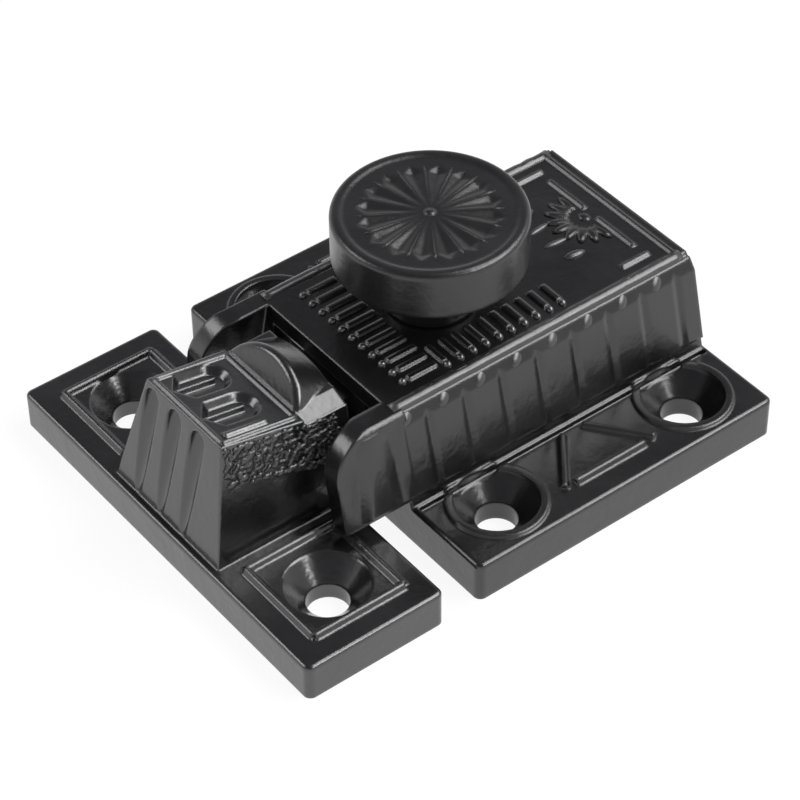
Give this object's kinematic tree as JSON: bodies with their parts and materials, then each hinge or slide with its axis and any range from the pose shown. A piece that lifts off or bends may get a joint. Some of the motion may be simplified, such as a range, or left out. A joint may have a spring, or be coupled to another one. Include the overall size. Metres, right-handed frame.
{
  "type": "slide latch",
  "caption": "Black cast cupboard latch: a round petalled knob slides a sprung bolt in a case with fluted walls, and the bolt catches in a separate screwed-on keeper.",
  "frame": {"origin": "middle of the whole latch's footprint on the mounting face", "axes": "+X from the keeper to the case, the way the knob pulls the bolt back, +Z out of the mounting face towards the knob"},
  "size_m": [0.058, 0.048, 0.026],
  "materials": {
    "black_enamel": "black satin enamel on cast iron",
    "bolt_iron": "black satin enamel, worn smooth",
    "steel": "plain bright steel"
  },
  "bodies": {
    "housing": {"case": "black_enamel", "keeper": "black_enamel", "back_plate": "steel", "back_plate_rivets": "steel", "bolt_spring": "steel"},
    "slider": {"bolt": "bolt_iron", "knob": "black_enamel", "knob_screw": "steel"}
  },
  "joints": [
    {"name": "bolt_slide", "type": "slide", "parent": "housing", "child": "slider", "axis": [1, 0, 0], "range_m": [0, 0.0046], "stiffness_N_per_m": 400, "springref_m": -0.008, "deforming": ["bolt_spring"]}
  ]
}
